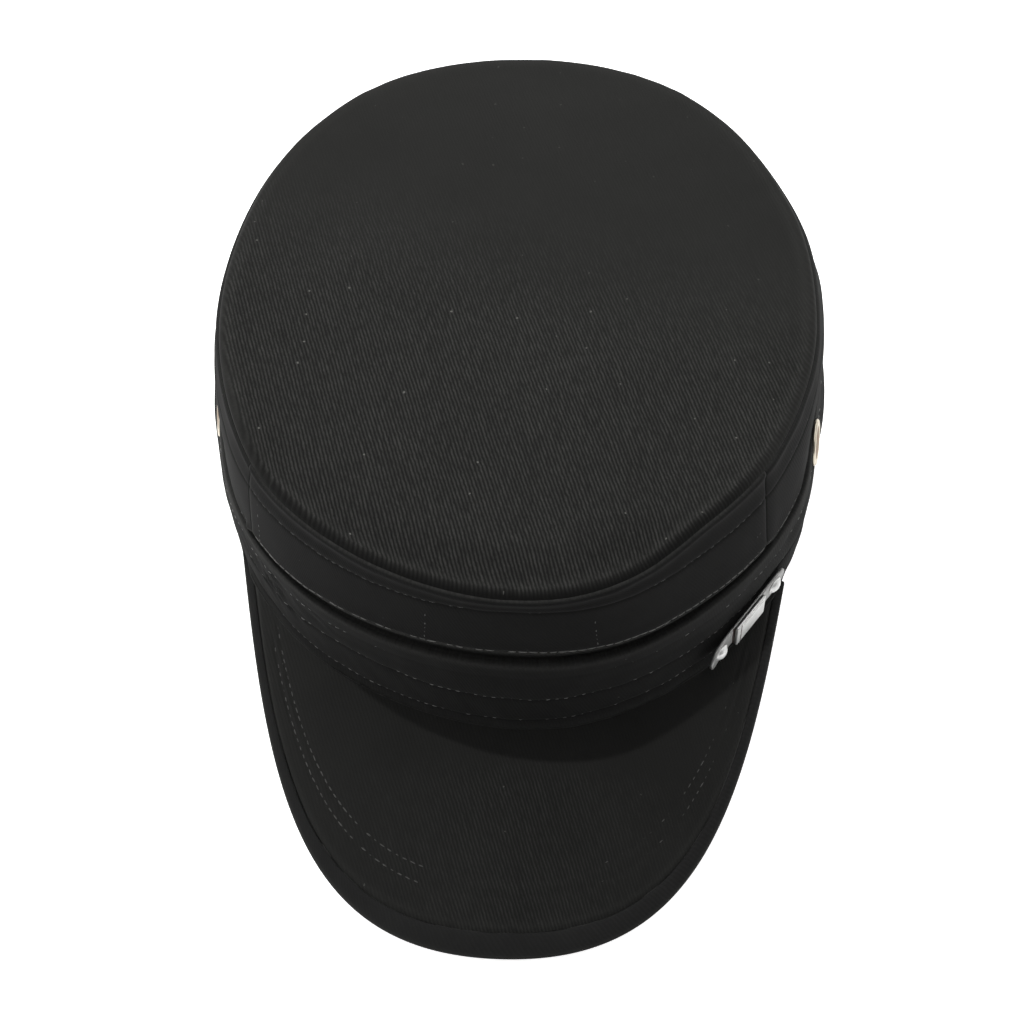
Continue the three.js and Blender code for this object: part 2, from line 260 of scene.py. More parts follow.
def finishPiece(name, shape, material, nodes=(), wall=0, flip=False):
    moved(shape, capPlace)
    if flip:
        bmesh.ops.reverse_faces(shape, faces=shape.faces[:])
    mesh = bpy.data.meshes.new(name)
    for face in shape.faces:
        face.smooth = True
    shape.to_mesh(mesh)
    shape.free()
    mesh.materials.append(material)
    piece = addObject(name, mesh)
    if wall:
        solid = piece.modifiers.new("wall", "SOLIDIFY")
        solid.thickness = wall * 0.001
        solid.offset = -1
        solid.use_even_offset = False
    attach(piece, "root")
    if nodes:
        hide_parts(*nodes)
    print("made", name, len(mesh.polygons), "faces")
    return piece


# Shader groups

def newGroup(name, inputs, outputs):    # a place, then numbers in; numbers out
    group = bpy.data.node_groups.new(name, "ShaderNodeTree")
    group.interface.new_socket("Place", in_out="INPUT", socket_type="NodeSocketVector")
    for label, value in inputs.items():
        socket = group.interface.new_socket(label, in_out="INPUT", socket_type="NodeSocketFloat")
        socket.default_value = value
    for label in outputs:
        group.interface.new_socket(label, in_out="OUTPUT", socket_type="NodeSocketFloat")
    return group, group.nodes.new("NodeGroupInput").outputs, group.nodes.new("NodeGroupOutput").inputs


def plug(tree, socket, value):
    if isinstance(value, bpy.types.NodeSocket):
        tree.links.new(value, socket)
    else:
        socket.default_value = value


def addNode(tree, kind, settings=None, **inputs):
    node = tree.nodes.new(kind)
    for key, value in (settings or {}).items():
        setattr(node, key, value)
    for key, value in inputs.items():
        plug(tree, node.inputs[key.replace("_", " ")], value)
    return node


def calc(tree, operation, first, second=0.0, third=0.0):
    node = tree.nodes.new("ShaderNodeMath")
    node.operation = operation
    for k, value in enumerate((first, second, third)):
        plug(tree, node.inputs[k], value)
    return node.outputs[0]


def clamped(tree, value):    # kept between 0 and 1
    return calc(tree, "MAXIMUM", calc(tree, "MINIMUM", value, 1.0), 0.0)


def mixNode(tree, kind, blend, share, first, second):
    node = tree.nodes.new("ShaderNodeMix")
    node.data_type = kind
    node.blend_type = blend
    for label, value in (("Factor", share), ("A", first), ("B", second)):
        plug(tree, node.inputs[label], value)
    return node.outputs["Result"]


def mixFloats(tree, share, first, second):
    return mixNode(tree, "FLOAT", "MIX", share, first, second)


def mixColors(tree, share, first, second):
    return mixNode(tree, "RGBA", "MIX", share, first, second)


def dimColor(tree, color, dim):
    grey = addNode(tree, "ShaderNodeCombineColor", None, Red=dim, Green=dim, Blue=dim)
    return mixNode(tree, "RGBA", "MULTIPLY", 1.0, color, grey.outputs[0])


def addBump(tree, shader, height, strength, distance):
    bump = addNode(tree, "ShaderNodeBump", None, Strength=strength, Distance=distance, Height=height)
    tree.links.new(bump.outputs["Normal"], shader.inputs["Normal"])


def noiseAt(tree, place, scale, detail=2.0, roughness=0.5):
    return addNode(tree, "ShaderNodeTexNoise", None, Vector=place, Scale=scale, Detail=detail,
                   Roughness=roughness).outputs["Fac"]


def twillGroup():
    # diagonal wales of a cotton twill, each broken into its own pale lengths, with fine fibres across
    group, given, result = newGroup(
        "twillWeave", {"Turn": 0.28, "Pitch": 0.001, "Wander": 0.5}, ["Height", "Streak"])
    place, turn, pitch, wander = given[:4]
    turned = addNode(group, "ShaderNodeVectorRotate", {"rotation_type": "Z_AXIS"}, Vector=place, Angle=turn)
    parts = addNode(group, "ShaderNodeSeparateXYZ", None, Vector=turned.outputs[0])
    drift = calc(group, "MULTIPLY", calc(group, "SUBTRACT", noiseAt(group, place, 60.0, 0.0), 0.5), wander)
    jitter = calc(group, "MULTIPLY_ADD", noiseAt(group, place, 700.0, 1.0), 0.4, drift)
    across = calc(group, "ADD", calc(group, "DIVIDE", parts.outputs["X"], pitch), jitter)
    along = calc(group, "DIVIDE", parts.outputs["Y"], pitch)
    wale = calc(group, "FLOOR", across)
    ridge = calc(group, "SINE", calc(group, "MULTIPLY", calc(group, "FRACT", across), math.pi))
    ridge = calc(group, "POWER", ridge, 2.0)
    own = addNode(group, "ShaderNodeCombineXYZ", None, X=calc(group, "MULTIPLY", wale, 5.31),
                  Y=calc(group, "MULTIPLY", along, 0.26))
    streak = noiseAt(group, own.outputs[0], 1.0, 2.0, 0.6)
    streak = calc(group, "MULTIPLY_ADD", calc(group, "SUBTRACT", streak, 0.5), 1.5, 0.45)
    streak = clamped(group, streak)
    fibre = addNode(group, "ShaderNodeCombineXYZ", None, X=calc(group, "MULTIPLY", across, 1.6), Y=along)
    fibre = noiseAt(group, fibre.outputs[0], 1.7, 1.0, 0.6)
    shown = calc(group, "MULTIPLY", ridge, calc(group, "MULTIPLY_ADD", fibre, 0.9, 0.55))
    height = calc(group, "MULTIPLY", shown, calc(group, "MULTIPLY_ADD", streak, 0.6, 0.4))
    group.links.new(height, result["Height"])
    group.links.new(calc(group, "MULTIPLY", shown, calc(group, "MULTIPLY_ADD", streak, 0.85, 0.15)),
                    result["Streak"])
    return group


def fadeGroup():
    # broad and small unevenness of a dyed cloth
    group, given, result = newGroup("clothFade", {"Broad": 28.0, "Fine": 1100.0}, ["Fade", "Fuzz"])
    place, broad, fine = given[:3]
    group.links.new(noiseAt(group, place, broad, 3.0), result["Fade"])
    group.links.new(noiseAt(group, place, fine, 3.0, 0.7), result["Fuzz"])
    return group


def lintGroup():
    # a few pale specks of lint
    group, given, result = newGroup("lintSpecks", {"Scale": 100.0, "Share": 0.3}, ["Speck"])
    place, scale, share = given[:3]
    bent = addNode(group, "ShaderNodeVectorMath", {"operation": "MULTIPLY_ADD"})
    wobble = addNode(group, "ShaderNodeTexNoise", None, Vector=place, Scale=1500.0)
    plug(group, bent.inputs[0], wobble.outputs["Color"])
    bent.inputs[1].default_value = (0.0006, 0.0006, 0)
    plug(group, bent.inputs[2], place)
    cells = addNode(group, "ShaderNodeTexVoronoi", {"voronoi_dimensions": "2D"}, Vector=bent.outputs[0],
                    Scale=scale)
    pick = addNode(group, "ShaderNodeSeparateColor", None, Color=cells.outputs["Color"])
    size = calc(group, "MULTIPLY_ADD", pick.outputs["Green"], 0.02, 0.015)
    near = calc(group, "LESS_THAN", cells.outputs["Distance"], size)
    kept = calc(group, "LESS_THAN", pick.outputs["Red"], share)
    group.links.new(calc(group, "MULTIPLY", near, kept), result["Speck"])
    return group


def brushGroup():
    # fine brushing along a metal part, with a few deeper marks
    group, given, result = newGroup("metalBrush", {"Turn": 0.0, "Fine": 9000.0}, ["Brush", "Wear"])
    place, turn, fine = given[:3]
    turned = addNode(group, "ShaderNodeVectorRotate", {"rotation_type": "Z_AXIS"}, Vector=place, Angle=turn)
    drawn = addNode(group, "ShaderNodeVectorMath", {"operation": "MULTIPLY"}, Vector=turned.outputs[0])
    drawn.inputs[1].default_value = (0.04, 1, 1)
    group.links.new(noiseAt(group, drawn.outputs[0], fine, 2.0), result["Brush"])
    group.links.new(noiseAt(group, place, 600.0, 4.0, 0.6), result["Wear"])
    return group


weaveNodes = twillGroup()
fadeNodes = fadeGroup()
lintNodes = lintGroup()
brushNodes = brushGroup()


def newMaterial(name, roughness, **constants):
    material = bpy.data.materials.new(name)
    material.use_nodes = True
    tree = material.node_tree
    shader = tree.nodes["Principled BSDF"]
    shader.inputs["Roughness"].default_value = roughness
    for key, value in constants.items():
        shader.inputs[key.replace("_", " ")].default_value = value
    return material, tree, shader


def placeGroup(tree, group, **inputs):
    node = tree.nodes.new("ShaderNodeGroup")
    node.node_tree = group
    for key, value in inputs.items():
        plug(tree, node.inputs[key], value)
    return node


def twillMaterial(name, look):
    material, tree, shader = newMaterial(name, look["roughness"], Specular_IOR_Level=0.08,
                                         Sheen_Weight=look["sheen"], Sheen_Roughness=0.5,
                                         Sheen_Tint=(0.95, 0.95, 0.92, 1))
    place = addNode(tree, "ShaderNodeUVMap", {"uv_map": "weave"}).outputs["UV"]
    # the tone shift carries wear, painted light and, below 0, painted shade
    toneShift = addNode(tree, "ShaderNodeAttribute", {"attribute_name": "toneShift"}).outputs["Fac"]
    clear = addNode(tree, "ShaderNodeAttribute", {"attribute_name": "clear"}).outputs["Fac"]
    weave = placeGroup(tree, weaveNodes, Place=place, Turn=look["turn"], Pitch=look["pitch"],
                       Wander=look["wander"])
    fade = placeGroup(tree, fadeNodes, Place=place, Broad=look["broad"])
    lint = placeGroup(tree, lintNodes, Place=place, Share=look["lint"])
    share = mixFloats(tree, clear, 0.18, weave.outputs["Streak"])
    color = mixColors(tree, share, look["dark"] + (1,), look["light"] + (1,))
    dim = calc(tree, "MULTIPLY_ADD", fade.outputs["Fade"], look["mottle"], 1 - look["mottle"] / 2)
    grain = calc(tree, "MULTIPLY_ADD", fade.outputs["Fuzz"], 0.5, 0.75)
    dim = calc(tree, "MULTIPLY", dim, mixFloats(tree, clear, 1.0, grain))
    shade = calc(tree, "ADD", calc(tree, "MINIMUM", toneShift, 0.0), 1.0)    # a tone shift below 0 is painted shade, darkening a groove
    dim = calc(tree, "MULTIPLY", dim, shade)
    color = dimColor(tree, color, dim)
    # positive values mix towards the lighter colour: wear where the cloth is rubbed, and painted light where
    # a shaded spot is lifted
    rubbedAndPaintedLight = calc(tree, "MULTIPLY", toneShift, calc(tree, "MULTIPLY_ADD", fade.outputs["Fuzz"], 1.6, -0.1))
    color = mixColors(tree, clamped(tree, rubbedAndPaintedLight), color, look["wearAndPaintedLight"] + (1,))
    speck = calc(tree, "MULTIPLY", lint.outputs["Speck"], calc(tree, "MULTIPLY_ADD", clear, 0.5, 0.15))
    color = mixColors(tree, speck, color, (0.14, 0.14, 0.13, 1))
    tree.links.new(color, shader.inputs["Base Color"])
    height = calc(tree, "MULTIPLY_ADD", fade.outputs["Fuzz"], 0.5, weave.outputs["Height"])
    height = calc(tree, "MULTIPLY", height, calc(tree, "MULTIPLY_ADD", clear, 0.85, 0.15))
    addBump(tree, shader, height, look["bump"], 0.0003)
    return material


def threadMaterial(name, color):
    material, tree, shader = newMaterial(name, 0.75, Specular_IOR_Level=0.3, Sheen_Weight=0.2)
    place = addNode(tree, "ShaderNodeTexCoord").outputs["Object"]
    fade = placeGroup(tree, fadeNodes, Place=place, Broad=120.0, Fine=2600.0)
    dim = calc(tree, "MULTIPLY_ADD", fade.outputs["Fade"], 1.0, 0.45)
    tree.links.new(dimColor(tree, color + (1,), dim), shader.inputs["Base Color"])
    twist = addNode(tree, "ShaderNodeTexWave", {"bands_direction": "DIAGONAL"}, Vector=place, Scale=900.0,
                    Distortion=2.0, Detail=1.0)
    addBump(tree, shader, twist.outputs["Fac"], 0.5, 0.0001)
    return material


def metalMaterial(name, look):
    material, tree, shader = newMaterial(name, look["roughness"], Metallic=look["metallic"])
    place = addNode(tree, "ShaderNodeTexCoord").outputs["Object"]
    brush = placeGroup(tree, brushNodes, Place=place, Turn=look["turn"])
    toneShift = brush.outputs["Wear"]
    color = mixColors(tree, calc(tree, "MULTIPLY_ADD", calc(tree, "SUBTRACT", toneShift, 0.5), 2.0, 0.5),
                      look["dull"] + (1,), look["bright"] + (1,))
    tree.links.new(color, shader.inputs["Base Color"])
    rough = calc(tree, "MULTIPLY_ADD", brush.outputs["Brush"], 0.18, look["roughness"] - 0.09)
    tree.links.new(calc(tree, "MULTIPLY_ADD", toneShift, 0.1, rough), shader.inputs["Roughness"])
    addBump(tree, shader, brush.outputs["Brush"], look["bump"], 0.00003)
    return material


clothLook = {
    "roughness": 0.95, "sheen": 0.06, "turn": math.radians(-18.5), "pitch": 0.00099, "wander": 0.6,
    "broad": 22.0, "mottle": 0.3, "lint": 0.25, "bump": 0.9,
    "dark": (0.0050, 0.0050, 0.0048), "light": (0.041, 0.041, 0.0385), "wearAndPaintedLight": (0.055, 0.055, 0.052),
}
# the wall's light colour is kept far darker than the top's and the band's: painted shade, so the crown wall
# reads as turned away from the lamps
wallLook = {
    **clothLook, "turn": math.radians(-24), "lint": 0.08, "sheen": 0.028, "mottle": 0.35, "broad": 60.0,
    "bump": 0.6, "dark": (0.0048, 0.0048, 0.0048), "light": (0.0118, 0.0118, 0.0115),
}
topTwill = twillMaterial("topTwill", clothLook)
shadedWallTwill = twillMaterial("shadedWallTwill", wallLook)
bandTwill = twillMaterial("bandTwill", {**wallLook, "lint": 0.12, "light": (0.037, 0.037, 0.036)})
peakTwill = twillMaterial("peakTwill", {
    **clothLook, "turn": math.radians(-21), "lint": 0.12, "mottle": 0.4, "broad": 40.0,
    "light": (0.037, 0.037, 0.035),
})
bindingTwill = twillMaterial("bindingTwill", {
    **wallLook, "turn": math.radians(45), "lint": 0.04, "light": (0.043, 0.043, 0.042),
})
greyThread = threadMaterial("greyThread", (0.18, 0.18, 0.172))
darkThread = threadMaterial("darkThread", (0.045, 0.045, 0.043))
metalLook = {"roughness": 0.36, "metallic": 1.0, "turn": 0.0, "bump": 0.2}
brushedLook = {**metalLook, "turn": math.radians(-53)}    # brushed along the plate
plateSteel = metalMaterial("plateSteel", {
    **brushedLook, "roughness": 0.42, "bump": 0.3, "dull": (0.27, 0.27, 0.265), "bright": (0.38, 0.38, 0.375),
})
barSteel = metalMaterial("barSteel", {
    **brushedLook, "bump": 0.25, "dull": (0.60, 0.60, 0.59), "bright": (0.74, 0.74, 0.73),
})
rivetSteel = metalMaterial("rivetSteel", {
    **metalLook, "bump": 0.08, "metallic": 0.6, "dull": (0.74, 0.74, 0.73), "bright": (0.88, 0.88, 0.87),
})
# dark red-brown: the ink of the bar's band, and painted shade for its front slot and edge groove
bandInkAndShadeLines = metalMaterial("bandInkAndShadeLines", {
    **metalLook, "roughness": 0.5, "bump": 0.1, "metallic": 0.0,
    "dull": (0.035, 0.016, 0.014), "bright": (0.06, 0.03, 0.026),
})
buttonBrass = metalMaterial("buttonBrass", {
    **metalLook, "roughness": 0.34, "dull": (0.60, 0.53, 0.42), "bright": (0.80, 0.74, 0.62),
})
buttonTan = metalMaterial("buttonTan", {
    **metalLook, "roughness": 0.5, "metallic": 0.5,
    "dull": (0.19, 0.12, 0.065), "bright": (0.30, 0.205, 0.12),
})
print("materials ready")

# Stitches

stitchWork = {
    "length": 1.9, "width": 0.4, "height": 0.36,    # mm, of one stitch
    "gap": 0.75,                                    # between two stitches
    "lost": 0.1,                                    # share of them sunk out of sight
    "seed": 11,
}
stitchWork["count"] = round(arcLengths[-1] / (stitchWork["length"] + stitchWork["gap"]))
looseStitch = bpy.data.meshes.new("looseStitch")


def layStitch(shape, luck, point, ahead, outward, spread=1.0, sink=0.08):
    if luck.random() < stitchWork["lost"]:
        return
    sink += luck.uniform(-0.05, 0.1)
    side = outward.cross(ahead).normalized()
    ahead = (side.cross(outward) + side * luck.uniform(-0.1, 0.1)).normalized()
    side = outward.cross(ahead).normalized()
    turned = Matrix((ahead, side, outward.normalized())).transposed().to_4x4()
    length = stitchWork["length"] * spread * luck.uniform(0.75, 1.12)
    size = Matrix.Diagonal((length, stitchWork["width"], stitchWork["height"], 1))
    place = Matrix.Translation(point - outward.normalized() * sink)
    stitch = bmesh.new()
    bmesh.ops.create_uvsphere(stitch, u_segments=8, v_segments=6, radius=0.5,
                              matrix=place @ turned @ size @ Matrix.Rotation(math.pi / 2, 4, "Y"))
    stitch.to_mesh(looseStitch)
    stitch.free()
    shape.from_mesh(looseStitch)


def sewRing(shape, surface, level, start, end, spread=1.0, sink=0.05, hidden=None):
    # one stitch between two holes, from one angle to another; hidden gives more depth by the angle
    luck = random.Random(stitchWork["seed"] + round(level * 10))
    pitch = arcLengths[-1] / stitchWork["count"]
    first = math.ceil(arcAt(start) / pitch - 0.5)
    last = math.floor(arcAt(end) / pitch - 0.5)
    for k in range(first, last + 1):
        angle = angleAt((k + 0.5) * pitch)
        point = surface(angle, level)
        ahead = surface(angle + 0.012, level) - surface(angle - 0.012, level)
        rise = surface(angle, level + 0.8) - surface(angle, level - 0.8)
        deep = sink + (hidden(angle) if hidden else 0)
        layStitch(shape, luck, point, ahead, ahead.cross(rise).normalized(), spread, deep)


def sewRow(shape, path, spread=1.0, sink=0.08):
    # path is a list of (point, outward) pairs close together; a stitch lies along it every few mm
    luck = random.Random(stitchWork["seed"] + len(path))
    lengths = [0.0]
    for (here, _), (there, _) in zip(path, path[1:]):
        lengths.append(lengths[-1] + (there - here).length)
    pitch = (stitchWork["length"] + stitchWork["gap"]) * spread
    count = max(1, round(lengths[-1] / pitch))
    pitch = lengths[-1] / count
    k = 0
    for number in range(count):
        middle = (number + 0.5) * pitch
        while k < len(lengths) - 2 and lengths[k + 1] < middle:
            k += 1
        share = (middle - lengths[k]) / max(1e-6, lengths[k + 1] - lengths[k])
        point = path[k][0].lerp(path[k + 1][0], share)
        outward = path[k][1].lerp(path[k + 1][1], share).normalized()
        ahead = (path[k + 1][0] - path[k][0]).normalized()
        layStitch(shape, luck, point, ahead, outward, spread, sink)


# Crown wall: hem, topstitched shoulder and rolled top edge

crownWall = {
    "hemStitch": 39.0, "topStitch": 63.2,    # mm up from the band's lower edge
    "raised": {"top": 2.2, "hem": 1.1},      # mm, how much higher the rows run in front
    "behind": 2.4,                           # mm, how far the hem comes down behind the seams
    "swell": 1.9,                            # mm, how far the wall bulges at the sides
    "sag": 2.6,                              # mm, how much lower the top edge runs in front
    "seamAngle": -36.7,                      # degrees from +X, the side seams
    "overlap": 0.15 / 93,                    # radians, the panels' ends cross so that no light comes through
    "turnIn": 0.02,                          # radians over which an end turns into the seam
    "tuck": {"right": 1.0, "left": 0.35},    # how strongly it does so
    "clearEnd": 1.4,                         # degrees between a row's last stitch and the seam
    "stitchDeep": {"hem": -0.13, "top": 0.17, "behind": 0.16},    # mm, against the cloth
    "beside": 2.9,                           # degrees from a seam to the upright row beside it
    "frontRows": [-102.8, -75.2],            # degrees, the two upright rows in front
    "fold": -145.2,                          # degrees, the small fold in the hem at the left seam
    "ripples": [(0.42, 34, 3), (0.16, 13, 8)],
    "wall": 1.6,
    "outer": slice(3, 26),                   # the stations of the outer face
    "profile": [    # height, out
        (38.2, -1.5), (37.7, -1.1), (37.5, -0.5), (37.6, 0.05), (38.0, 0.38), (38.5, 0.36),
        (39.0, 0.2), (39.5, 0.36), (40.4, 0.5), (42.3, 0.45), (45.5, 0.35), (50, 0.32), (55, 0.3),
        (59, 0.28), (61.6, 0.28), (62.6, 0.16), (63.2, 0.0), (63.8, 0.14), (65, 0.22), (67, 0.12),
        (69.6, 0.05), (71.6, 0.12), (73.0, 0.32), (74.0, 0.52), (74.9, 0.5), (75.45, 0.25),
        (75.8, -0.2), (75.9, -0.75), (75.65, -1.3), (75.1, -1.65), (73.6, -1.95),
    ],
}


def frontSag(angle):
    away = fromFront(angle)
    return crownWall["sag"] * smoothStep((away + 62) / 14) * smoothStep((40 - away) / 16)


def crownSoft(angle, height):    # how the cloth swells and puckers over its plain shape
    soft = wallRipples(crownWall["ripples"], angle, height)
    for level in (crownWall["hemStitch"], crownWall["topStitch"]):
        soft += 0.16 * wallRipple(angle, level, 5.5, 21) * bell(height - level, 3.2)
    soft += 0.2 * wallRipple(angle, 0, 9, 33) * bell(height - 72.0, 2.0)
    away = degreesFrom(angle, crownWall["fold"])
    side = fromFront(angle)
    full = 1.7 * bell(side - 103, 18) + bell(side + 98, 28)
    soft += crownWall["swell"] * full * bell(height - 57, 10)
    soft += 0.9 * bell(away, 0.8) * bell(height - 39.0, 1.0)
    soft -= 0.5 * bell(away + 1.6, 0.7) * bell(height - 39.5, 1.6)
    return soft


def crownSurface(angle, height, out):
    free = smoothStep((height - 37.5) / 1.5) * smoothStep((75.6 - height) / 2.5) if out > -1.2 else 0
    point = wallPoint(crownOval(height), angle, out + crownSoft(angle, height) * free)
    away = fromFront(angle)
    point.z -= frontSag(angle) * smoothStep((height - 64.5) / 9)
    point.z += crownWall["raised"]["top"] * bell(away, 15) * bell(height - crownWall["topStitch"], 4.5)
    low = 1 - smoothStep((height - 39.5) / 9)
    point.z += crownWall["raised"]["hem"] * bell(away, 12) * low
    point.z -= crownWall["behind"] * smoothStep((abs(away) - 53.2) / 5) * low
    return point


def crownFace(angle, height):
    return crownSurface(angle, height, faceOut(crownWall["profile"][crownWall["outer"]], height))


def makeCrownPanel(name, start, end, columns, nodes):
    start, end = math.radians(start) - crownWall["overlap"], math.radians(end) + crownWall["overlap"]

    def place(u, v):
        angle = mix(start, end, u)
        height, out = alongProfile(crownWall["profile"], v)
        height = round(height, 4)
        fromEnd = min(angle - start, end - angle)
        near = max(0, 1 - fromEnd / crownWall["turnIn"])
        tuck = crownWall["tuck"]["right" if math.cos(angle) > 0 else "left"]
        tuck *= 0.34 * near ** 2 - 0.12 * bell(fromEnd - 0.045, 0.02)
        tuck *= smoothStep((out + 0.9) / 1.1)
        # lighter along the hem's edge, near the panels' ends, and along the crest of the top seam, most in
        # front
        wearAndPaintedLight = 0.5 * bell(height - 38.4, 0.7) + 0.1 * near
        wearAndPaintedLight += 0.25 * bell(fromFront(angle), 40) * bell(height - 39, 0.5)
        inFront = 1 - smoothStep((abs(fromFront(angle)) - 42) / 16)
        wearAndPaintedLight += (0.26 + 0.16 * inFront) * bell(height - 75.9, 0.35)
        return crownSurface(angle, height, out - tuck), (arcAt(angle), height), wearAndPaintedLight, 0.1

    shape = clothGrid(columns, (len(crownWall["profile"]) - 1) * 2, place)
    finishPiece(name, shape, shadedWallTwill, nodes, wall=crownWall["wall"])


def crownUpright(degrees, low, high):    # the path of a row that runs up the wall
    angle = math.radians(degrees)
    path = []
    steps = 40
    for k in range(steps + 1):
        height = mix(low, high, k / steps)
        point = crownFace(angle, height)
        ahead = crownFace(angle + 0.002, height) - point
        rise = crownFace(angle, height + 0.8) - point
        path.append((point, ahead.cross(rise).normalized()))
    return path


def makeCrown():
    seam = crownWall["seamAngle"]
    makeCrownPanel("crownFront", -180 - seam, seam, 176, ["crown_front"])
    makeCrownPanel("crownBack", seam, 180 - seam, 440, ["crown_back"])
    stitches, uprights = bmesh.new(), bmesh.new()
    deep, clear = crownWall["stitchDeep"], crownWall["clearEnd"]
    proud = lambda angle: deep["hem"]
    faint = lambda angle: deep["top"] * bell(fromFront(angle) - 12, 11)
    front = math.radians(-180 - seam + clear), math.radians(seam - clear)
    behind = math.radians(seam + clear), math.radians(180 - seam - clear)
    for shape, level, spread, hidden, sunk in (
        (stitches, crownWall["hemStitch"], 1.3, proud, 0.05),
        (uprights, crownWall["topStitch"], 0.9, faint, deep["behind"]),
    ):
        sewRing(shape, crownFace, level, *front, spread, 0.05, hidden)
        sewRing(shape, crownFace, level, *behind, spread, sunk)
    finishPiece("crownStitches", stitches, greyThread)
    for degrees in (seam - crownWall["beside"], -180 - seam + crownWall["beside"]):
        sewRow(uprights, crownUpright(degrees, 39.5, 61.5))
    for degrees in crownWall["frontRows"]:
        sewRow(uprights, crownUpright(degrees, 40.5, 61.5), 1.0, 0.14)
    finishPiece("crownUprightStitches", uprights, darkThread)


makeCrown()

# Top panel

topShape = {
    "inset": 1.85,      # mm inside the wall's outline
    "dome": 2.6,        # rise of its middle
    "roll": 0.7,        # width of the rounded edge at the seam
    "even": 0.7,        # share of the way out with even rings; from there on they lie closer
    "sunk": {"front": 2.0, "round": 0.6},    # how deep the seam lies
    "sagWidth": 13,     # mm in from the rim over which it follows the lower front edge
    "wall": 1.6,
}


def makeTopPanel():
    top = ovals["top"]
    middle = (top["front"] + top["back"]) / 2
    even, sunk = topShape["even"], topShape["sunk"]

    def place(u, v):
        ring = v if v < even else mix(even, 1, 1 - (1 - (v - even) / (1 - even)) ** 2)
        angle = 2 * math.pi * u
        edge = wallPoint(top, angle, -topShape["inset"])
        x, y = edge.x * ring, middle + (edge.y - middle) * ring
        dip = top["dip"] * (max(0, -math.sin(angle)) * ring) ** 4
        fromRim = (1 - ring) * math.hypot(edge.x, edge.y - middle)
        level = top["height"] + top["slope"] * y - dip - 0.05 + topShape["dome"] * (1 - ring ** 2)
        level -= frontSag(angle) * smoothStep(1 - fromRim / topShape["sagWidth"])
        level += 0.75 * ripple(x, y, 48, 5.0) + 0.25 * ripple(x, y, 17, 9.0)
        level += 0.28 * wallRipple(angle, 0, 6, 14) * bell(fromRim - 3, 3.5)
        deep = mix(sunk["front"], sunk["round"], smoothStep((abs(fromFront(angle)) - 48) / 14))
        level -= deep * (1 - math.sqrt(max(0, 1 - max(0, 1 - fromRim / topShape["roll"]) ** 2)))
        # the weave shows in front and fades towards the back
        clear = 0.06 + 0.86 * smoothStep((45 - 0.25 * x - y) / 75) * smoothStep(fromRim / 1.5)
        inFront = 1 - smoothStep((abs(fromFront(angle)) - 44) / 14)
        # in front the rolled edge down into the seam's groove is darkened below 0: painted shade; just inside
        # the rim it is a little lighter
        wearAndPaintedLight = 0.1 * bell(fromRim - 1.8, 0.9) - 0.85 * inFront * (1 - smoothStep(fromRim / 1.3))
        return Vector((x, y, level)), (x, y), wearAndPaintedLight, clear

    shape = clothGrid(260, 64, place, closed=True)
    finishPiece("topPanel", shape, topTwill, ["top_panel"], wall=topShape["wall"])


makeTopPanel()

# Band

band = {
    "rows": [2.6, 14.1, 25.6],    # mm up, the stitched rows
    "seamRise": 3.0,              # mm, how much higher its upper edge lies towards the seams
    "flare": 1.7,                 # mm, how far its foot stands out over the peak
    "crumple": {"at": -139, "depth": 1.1, "width": 9, "height": 19},    # degrees and mm
    "ripples": [(0.4, 30, 41), (0.2, 11, 47)],
    "wall": 1.9,
    "outer": slice(3, 28),        # the stations of the outer face
    "profile": [    # height, out
        (-1.1, -1.8), (-1.45, -1.3), (-1.5, -0.8), (-1.2, -0.4), (-0.5, -0.15), (0.6, -0.05), (1.7, -0.1),
        (2.2, -0.22), (2.6, -0.35), (3.0, -0.22), (3.9, 0.0), (6, 0.15), (8.5, 0.15), (11, 0.1),
        (12.9, -0.02), (13.6, -0.18), (14.1, -0.34), (14.6, -0.18), (15.6, 0.02), (18, 0.15), (21, 0.1),
        (23.4, 0.2), (24.9, 0.25), (25.6, 0.26), (26.3, 0.36), (27.6, 0.55), (29.4, 0.82), (30.8, 0.95),
        (31.8, 0.85), (32.3, 0.35), (32.2, -0.5), (32.0, -1.3), (33.5, -1.8), (40, -1.6),
    ],
}


def rowShift(angle, height):    # the stitched rows aren't quite level
    lowRow, middleRow, _ = band["rows"]
    middle = 2.0 * bell(degreesFrom(angle, -121), 13) * bell(height - middleRow, 5)
    low = 1.3 * bell(degreesFrom(angle, -64), 14) * bell(height - lowRow, 4)
    return middle + low * smoothStep((height + 1.5) / 3)


def bandSoft(angle, height):
    soft = wallRipples(band["ripples"], angle, height)
    for level in band["rows"]:
        soft += 0.22 * wallRipple(angle, level, 6, 51) * bell(height - level, 3.5)
    between = smoothStep((height - 3.5) / 2) * smoothStep((13.5 - height) / 2)
    soft += 0.22 * between * wallRipple(angle + height * 0.008, height * 0.25, 4.6, 57)
    crumple = band["crumple"]
    near = bell(degreesFrom(angle, crumple["at"]), crumple["width"]) * bell(height - crumple["height"], 6)
    return soft + crumple["depth"] * near * wallRipple(angle + height * 0.01, height * 0.6, 3.4, 61)


def bandSurface(angle, height, out):
    free = smoothStep((height + 1.5) / 1.2) * smoothStep((31.5 - height) / 2)
    point = wallPoint(bandOval(round(height, 4)), angle, out + bandSoft(angle, height) * free)
    point.z += rowShift(angle, height)
    away = abs(fromFront(angle))
    point.z += band["seamRise"] * smoothStep((away - 18) / 36) * smoothStep((height - 24) / 8)
    return point


def bandFace(angle, height):
    return bandSurface(angle, height, faceOut(band["profile"][band["outer"]], height))


